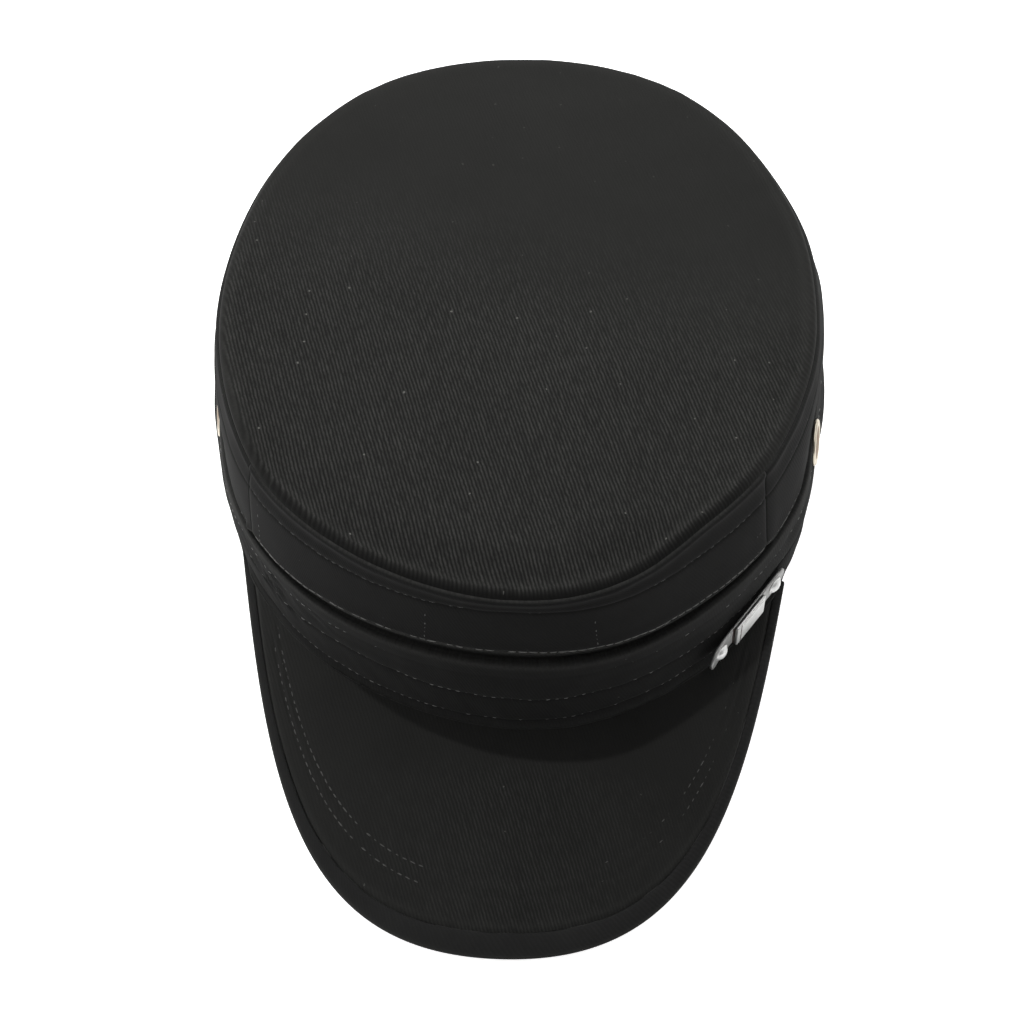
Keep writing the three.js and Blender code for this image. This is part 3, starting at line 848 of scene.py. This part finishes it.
def makeBand():
    def place(u, v):
        angle = math.pi / 2 + 2 * math.pi * u
        height, out = alongProfile(band["profile"], v)
        arc = arcLengths[-1] * u
        join = min(u, 1 - u) * arcLengths[-1]
        inFront = smoothStep((-math.sin(angle) - 0.42) / 0.1)
        flare = band["flare"] * inFront * (1 - smoothStep((height + 1.3) / 3.4))
        point = bandSurface(angle, height, out + flare - 0.5 * bell(join, 0.8))
        # lighter along the foot away from the front and along the upper edge; on the front flare over the
        # peak it is painted light against the shade in that fillet, and above the band's edge it is painted
        # light lifting the shaded recess under the hem
        wearAndPaintedLight = 0.2 * bell(height + 0.9, 0.7) * (1 - inFront) + 0.4 * bell(height - 31.4, 1.0)
        wearAndPaintedLight += 0.22 * inFront * (1 - smoothStep((height + 0.6) / 3))
        wearAndPaintedLight += 0.3 * smoothStep((height - 32.35) / 0.4)
        return point, (arc, height), wearAndPaintedLight, 0.12

    shape = clothGrid(620, (len(band["profile"]) - 1) * 2, place, closed=True)
    finishPiece("hatBand", shape, bandTwill, ["hat_band"], wall=band["wall"])
    stitches = bmesh.new()
    faint = lambda angle: 0.22 * bell(fromFront(angle), 16)
    for level in band["rows"]:
        hidden = faint if level == band["rows"][-1] else None
        sewRing(stitches, bandFace, level, math.pi / 2, math.pi * 2.5 - 0.001, 0.85, 0.09, hidden)
    finishPiece("bandStitches", stitches, greyThread)


makeBand()

# Peak and its binding

peak = {
    "slope": 0.45, "thickness": 3.0, "wall": 2.4, "tip": -161.6,
    "end": (83.0, -48.0), "rimStart": 2.2,
    "corner": (73.2, -109.0), "frontX": 60.0,
    "boardEnd": 0.985, "gap": 0.3,
    "under": 0.6,                                 # mm, how far the board goes in under its binding
    "edgeDip": {"depth": 1.1, "width": 1.6},      # mm, beside the binding
    "rowDip": {"depth": 0.2, "width": 0.8},       # mm, along the stitched rows
    "rows": [    # mm in from the rim at the sides and in front
        {"side": 12.2, "front": 15.2, "reach": 0.80},
        {"side": 15.6, "front": 19.6, "reach": 0.80},
    ],
}
binding = {
    "front": 6.3, "thickness": 3.8,
    "length": 320,      # mm along the rim
    "leftEnd": 1.15,    # how far round it goes on the left, 1 is the CAD's end
    "side": 3.0, "power": 4.0,    # width at the sides, and how late it widens towards the front
    "profile": [    # share across, lift
        (0, 0.35), (0.02, 0.62), (0.1, 0.84), (0.25, 0.97), (0.45, 1.0), (0.65, 0.95), (0.82, 0.78),
        (0.93, 0.5), (0.985, 0.2), (1, -0.1), (0.985, -0.4), (0.93, -0.68), (0.8, -0.9), (0.6, -1.0),
        (0.35, -1.0), (0.1, -0.9), (0, -0.75), (0, 0.35),
    ],
}


def peakRoot(along):
    foot = ovals["foot"]
    middle = (foot["front"] + foot["back"]) / 2
    reach = (foot["back"] - foot["front"]) / 2
    endAngle = math.asin(-(((middle - peak["end"][1]) / reach) ** (foot["power"] / 2)))
    return wallPoint(foot, -math.pi / 2 + along * (math.pi / 2 + endAngle), peak["gap"])


def peakRim(along):
    if abs(along) > 1:    # past its end the rim runs straight on
        last, before = peakRim(math.copysign(1, along)), peakRim(math.copysign(0.98, along))
        return last + (last - before) * (abs(along) - 1) / 0.02
    t = 1 - abs(along)
    corners = (
        Vector((peak["end"][0] + peak["rimStart"], peak["end"][1])), Vector(peak["corner"]),
        Vector((peak["frontX"], peak["tip"])), Vector((0, peak["tip"])),
    )
    shares = ((1 - t) ** 3, 3 * t * (1 - t) ** 2, 3 * t * t * (1 - t), t ** 3)
    point = sum((corner * share for corner, share in zip(corners, shares)), Vector((0, 0)))
    return Vector((math.copysign(point.x, along), point.y))


def peakLevel(x, y, along, share):
    sideDrop = peak["slope"] * (peak["end"][1] - ovals["foot"]["front"]) / peak["end"][0] ** 2
    bent = lambda px, py: peak["slope"] * (py - ovals["foot"]["front"]) - sideDrop * px ** 2
    root = peakRoot(along)
    return bent(x, y) - bent(root.x, root.y) * (1 - share) ** 2


def peakPoint(along, share, lift):
    rim, root = peakRim(along), peakRoot(along)
    x, y = mix(root.x, rim.x, share), mix(root.y, rim.y, share)
    return Vector((x, y, peakLevel(x, y, along, share) + lift))


def peakRoom(along):
    rim, root = peakRim(along), peakRoot(along)
    return math.hypot(rim.x - root.x, rim.y - root.y)


def forwardness(along):
    return (peak["end"][1] - peakRim(along).y) / (peak["end"][1] - peak["tip"])


def bindingWidth(along):
    if abs(along) > 1:
        return peakRoom(along) * 0.98
    width = mix(binding["side"], binding["front"], max(0, forwardness(along)) ** binding["power"])
    rim = peakRim(along)
    ahead, inward = peakRim(along + 0.004) - peakRim(along - 0.004), peakRoot(along).xy - rim
    square = abs(ahead.normalized().cross(inward.normalized()))
    return min(width / max(0.2, square), peakRoom(along) * 0.98)


def boardTop(along, share):
    point = peakPoint(along, share, peak["thickness"] / 2 - 1)
    point.z += 0.35 * ripple(point.x, point.y, 40, 71.0) + 0.12 * ripple(point.x, point.y, 12, 75.0)
    return point


def rowShare(row, along):
    inset = mix(row["side"], row["front"], forwardness(along) ** 2.5)
    return 1 - inset / peakRoom(along)


def makePeak():
    edgeDip, rowDip = peak["edgeDip"], peak["rowDip"]

    def place(u, v):
        along = peak["boardEnd"] * (2 * u - 1)
        limit = 1 - (bindingWidth(along) - peak["under"]) / peakRoom(along)
        share = limit * v
        point = boardTop(along, share)
        fromEdge = max(0, (limit - share) * peakRoom(along) - peak["under"])
        point.z -= edgeDip["depth"] * max(0, 1 - fromEdge / edgeDip["width"]) ** 2
        for row in peak["rows"]:
            if abs(along) < row["reach"]:
                away = (share - rowShare(row, along)) * peakRoom(along)
                point.z -= rowDip["depth"] * bell(away, rowDip["width"]) - 0.1 * bell(away - 1.9, 0.9)
        clear = 0.06 + 0.5 * bell(point.x - 6, 27) * smoothStep((-108 - point.y) / 8)
        return point, (point.x, point.y), 0.1 * bell(fromEdge - 1.2, 0.8), clear

    shape = clothGrid(220, 76, place)
    finishPiece("peakBoard", shape, peakTwill, ["peak"], peak["wall"], flip=True)
    stitches = bmesh.new()
    steps = 400
    for row in peak["rows"]:
        path = []
        for k in range(steps + 1):
            along = row["reach"] * (2 * k / steps - 1)
            share = rowShare(row, along)
            point = boardTop(along, share)
            ahead = boardTop(along + 0.002, rowShare(row, along + 0.002)) - point
            inward = boardTop(along, share - 0.01) - point
            outward = ahead.cross(inward).normalized()
            deep = 0.08 + 0.2 * bell(along, 0.16) + 0.1 * smoothStep(along * 5)
            deep += 0.07 * smoothStep((abs(along) - 0.5) / 0.2)
            path.append((point - outward * deep, outward))
        sewRow(stitches, path)
    finishPiece("peakStitches", stitches, darkThread)


def makeBinding():
    half = binding["thickness"] / 2

    def place(u, v):
        along = mix(-binding["leftEnd"], 1, u)
        across, lift = alongProfile(binding["profile"], v)
        room = peakRoom(along)
        inner = 1 - bindingWidth(along) / room
        thin = min(1, 0.7 + 3 * max(0, 1 - abs(along)))
        point = peakPoint(along, mix(inner, 1, across), half * lift * thin - 1)
        arc = binding["length"] * u
        soft = 0.22 * ripple(arc, v * 12, 7, 81.0) + 0.15 * ripple(arc, v * 6, 25, 85.0)
        point.z += soft * smoothStep((lift + 0.4) / 1.2)
        return point, (arc, v * 14), 0.25 * bell(v - 0.5, 0.07), 0.1

    shape = closeShape(clothGrid(360, (len(binding["profile"]) - 1) * 2, place, closed=True))
    finishPiece("peakBinding", shape, bindingTwill, ["peak_binding"])


makePeak()
makeBinding()

# Side plate, its bar and rivets

plate = {
    "centre": (71.46, -67.73, 9.3), "turn": 52.9, "rise": 5.0,    # mm, degrees
    "strip": {"halfX": 20.0, "halfY": 4.2, "corner": 4.2, "round": 0.25, "base": -0.9, "depth": 0.9},
    "bar": {"halfX": 7.2, "halfY": 5.3, "corner": 0.5, "round": 0.22, "base": 0.25, "depth": 1.1},
    "rivets": {"plateRivetFront": ("plate_rivet_front", -14.1), "plateRivetRear": ("plate_rivet_rear", 14.1)},
    "dome": [    # radius, height
        (0, 1.5), (0.5, 1.47), (1.0, 1.36), (1.5, 1.18), (1.95, 0.92), (2.3, 0.62), (2.5, 0.38),
        (2.6, 0.26), (2.78, 0.24), (2.9, 0.14), (2.92, -0.1), (2.7, -0.3), (0, -0.3),
    ],
    "lines": [    # along, across, up, then length and width: painted shade in the bar's front slot, its inked band, and painted shade along its edge groove
        {"x": -7.5, "y": 0.0, "z": -0.05, "long": 0.5, "wide": 8.6},
        {"x": -5.2, "y": 0.0, "z": 1.22, "long": 0.45, "wide": 10.2},
        {"x": 1.2, "y": 3.3, "z": 1.12, "long": 10.6, "wide": 0.3},
    ],
    "edgeLine": {"y": 3.3, "from": -4.2, "to": 6.3, "deep": 0.15},    # mm, the groove along the bar
    "bend": 1.3,    # mm, the front tab stands off the cloth
}


def plateAxes():
    turn, rise = math.radians(plate["turn"]), math.radians(plate["rise"])
    outward = Vector((math.sin(turn), -math.cos(turn), 0))
    along = Vector((math.cos(turn) * math.cos(rise), math.sin(turn) * math.cos(rise), math.sin(rise)))
    upward = outward.cross(along)
    return Matrix.Translation(plate["centre"]) @ Matrix((along, upward, outward)).transposed().to_4x4()


def plateBend(x):    # both tabs curve a little, the front one outwards
    return plate["bend"] * max(0, (-x - 9) / 11) ** 2 - 0.25 * max(0, (x - 12) / 8) ** 2


def metalSlab(look, relief, columns, rows):
    # a plate with rounded corners and a rounded upper edge, standing from its base
    shape = bmesh.new()
    bmesh.ops.create_grid(shape, x_segments=columns, y_segments=rows, size=1)
    for vert in shape.verts:
        x, y = vert.co.x * look["halfX"], vert.co.y * look["halfY"]
        overX = abs(x) - (look["halfX"] - look["corner"])
        overY = abs(y) - (look["halfY"] - look["corner"])
        if overX > 0 and overY > 0:
            shrink = max(overX, overY) / math.hypot(overX, overY)
            x -= math.copysign(overX * (1 - shrink), x)
            y -= math.copysign(overY * (1 - shrink), y)
            edge = look["corner"] - max(overX, overY)
        else:
            edge = min(look["halfX"] - abs(x), look["halfY"] - abs(y))
        near = max(0, 1 - edge / look["round"])
        drop = look["round"] * (1 - math.sqrt(max(0, 1 - near * near)))
        vert.co = (x, y, look["base"] + look["depth"] - drop + relief(x, y))
    rim = [edge for edge in shape.edges if edge.is_boundary]
    made = bmesh.ops.extrude_edge_only(shape, edges=rim)["geom"]
    for vert in (item for item in made if isinstance(item, bmesh.types.BMVert)):
        vert.co.z -= look["depth"] - look["round"]
    return closeShape(shape)


def spinProfile(profile, steps):    # (radius, height) turned round Z
    shape = bmesh.new()
    verts = [shape.verts.new((radius, 0, height)) for radius, height in profile]
    edges = [shape.edges.new(pair) for pair in zip(verts, verts[1:])]
    bmesh.ops.spin(shape, geom=verts + edges, cent=(0, 0, 0), axis=(0, 0, 1), angle=2 * math.pi,
                   steps=steps, use_merge=True)
    bmesh.ops.remove_doubles(shape, verts=shape.verts[:], dist=0.0005)
    bmesh.ops.recalc_face_normals(shape, faces=shape.faces[:])
    return shape


def makePlate():
    axes = plateAxes()

    def barRelief(x, y):
        line = plate["edgeLine"]
        ends = smoothStep((x - line["from"]) / 0.4) * smoothStep((line["to"] - x) / 0.4)
        return -line["deep"] * bell(y - line["y"], 0.2) * ends

    strip = moved(metalSlab(plate["strip"], lambda x, y: plateBend(x), 160, 36), axes)
    finishPiece("sidePlate", strip, plateSteel, ["side_plate"])
    bar = moved(metalSlab(plate["bar"], barRelief, 110, 80), axes)
    finishPiece("plateBar", bar, barSteel, ["plate_bar"])
    lines = bmesh.new()
    for line in plate["lines"]:
        place = Matrix.Translation((line["x"], line["y"], line["z"]))
        size = Matrix.Diagonal((line["long"], line["wide"], 0.3, 1))
        bmesh.ops.create_cube(lines, size=1, matrix=axes @ place @ size)
    finishPiece("plateLines", lines, bandInkAndShadeLines)
    for name, (node, x) in plate["rivets"].items():
        seat = Matrix.Translation((x, 0, 0.1 + plateBend(x)))
        dome = moved(spinProfile(plate["dome"], 48), axes @ seat)
        finishPiece(name, dome, rivetSteel, [node])


# Side buttons

buttons = {
    "sideButtonRight": {"node": "side_button_right", "angle": -9.1, "height": 29.0, "stand": 0.9},
    "sideButtonLeft": {"node": "side_button_left", "angle": 186.2, "height": 29.2, "stand": 0.2},
}
buttonShape = {
    "upright": 0.5,    # share of the wall's lean that a stud keeps
    "rim": [(0, 0.5), (5.3, 0.55), (5.45, 0.8), (5.7, 1.02), (6.1, 1.14), (6.5, 1.16), (6.9, 1.08),
            (7.15, 0.9), (7.28, 0.65), (7.3, 0.35), (7.1, 0.08), (6.6, -0.1), (0, -0.1)],
    "centre": [(0, 1.3), (1.2, 1.29), (2.4, 1.26), (3.4, 1.2), (4.3, 1.12), (4.9, 1.02), (5.3, 0.9),
               (5.5, 0.7), (5.3, 0.2), (0, 0.2)],
}


def shoulderFace(angle, height):
    return wallPoint(bandOval(height), angle, 0)


def makeButtons():
    for name, look in buttons.items():
        angle = math.radians(look["angle"])
        seat = shoulderFace(angle, look["height"])
        ahead = shoulderFace(angle + 0.01, look["height"]) - seat
        rise = shoulderFace(angle, look["height"] + 1) - seat
        outward = ahead.cross(rise).normalized()
        outward.z *= buttonShape["upright"]
        outward.normalize()
        place = Matrix.Translation(seat + outward * look["stand"])
        place = place @ Vector((0, 0, 1)).rotation_difference(outward).to_matrix().to_4x4()
        rim = moved(spinProfile(buttonShape["rim"], 64), place)
        finishPiece(name, rim, buttonBrass, [look["node"]])
        centre = moved(spinProfile(buttonShape["centre"], 48), place)
        finishPiece(name + "Centre", centre, buttonTan)


makePlate()
makeButtons()

scene.view_settings.view_transform = "Standard"

studio = {
    "sky": 0.02,                 # strength of the even light all round
    "sun": 1.6,
    "sunSoft": 0.9,              # degrees across
    "sunLean": (-12.6, -6.0, 0),    # degrees, from behind and from the left
    "aim": (0, 0, 0.05),         # m, where the boxes look
    "boxes": {                   # middle in m, width and height in m, watts
        "overhead": {"at": (0, 0.1, 1.5), "size": (1.3, 1.3), "power": 14.0},
        "behind": {"at": (0, 1.5, 1.1), "size": (1.8, 1.0), "power": 22.0},
        "left": {"at": (-1.5, 0.1, 0.7), "size": (1.4, 0.9), "power": 13.0},
        "right": {"at": (1.5, 0.1, 0.7), "size": (1.4, 0.9), "power": 4.0},
    },
    "floor": (0.8, 0.8, 0.8),
    "floorGlow": {"light": 0.2, "seen": 0.85},
}


def addStudio():
    world = bpy.data.worlds.new("studioSky")
    world.use_nodes = True
    sky = world.node_tree.nodes["Background"].inputs
    sky["Color"].default_value = (1, 1, 1, 1)
    sky["Strength"].default_value = studio["sky"]
    scene.world = world
    sun = addObject("keyLight", bpy.data.lights.new("keyLight", "SUN"))
    sun.data.energy = studio["sun"]
    sun.data.angle = math.radians(studio["sunSoft"])
    sun.rotation_euler = [math.radians(lean) for lean in studio["sunLean"]]
    for name, box in studio["boxes"].items():
        lamp = addObject(name + "Box", bpy.data.lights.new(name + "Box", "AREA"))
        lamp.data.shape = "RECTANGLE"
        lamp.data.size, lamp.data.size_y = box["size"]
        lamp.data.energy = box["power"]
        lamp.location = box["at"]
        lamp.rotation_euler = (Vector(studio["aim"]) - lamp.location).to_track_quat("-Z", "Y").to_euler()
    shape = bmesh.new()
    bmesh.ops.create_grid(shape, x_segments=8, y_segments=8, size=4)
    mesh = bpy.data.meshes.new("studioFloor")
    shape.to_mesh(mesh)
    shape.free()
    floor = addObject("studioFloor", mesh)
    material, tree, shader = newMaterial("floorPale", 0.9, Base_Color=studio["floor"] + (1,),
                                         Emission_Color=(1, 1, 1, 1))
    seen = addNode(tree, "ShaderNodeLightPath").outputs["Is Camera Ray"]
    glow = mixFloats(tree, seen, studio["floorGlow"]["light"], studio["floorGlow"]["seen"])
    tree.links.new(glow, shader.inputs["Emission Strength"])
    mesh.materials.append(material)


addStudio()
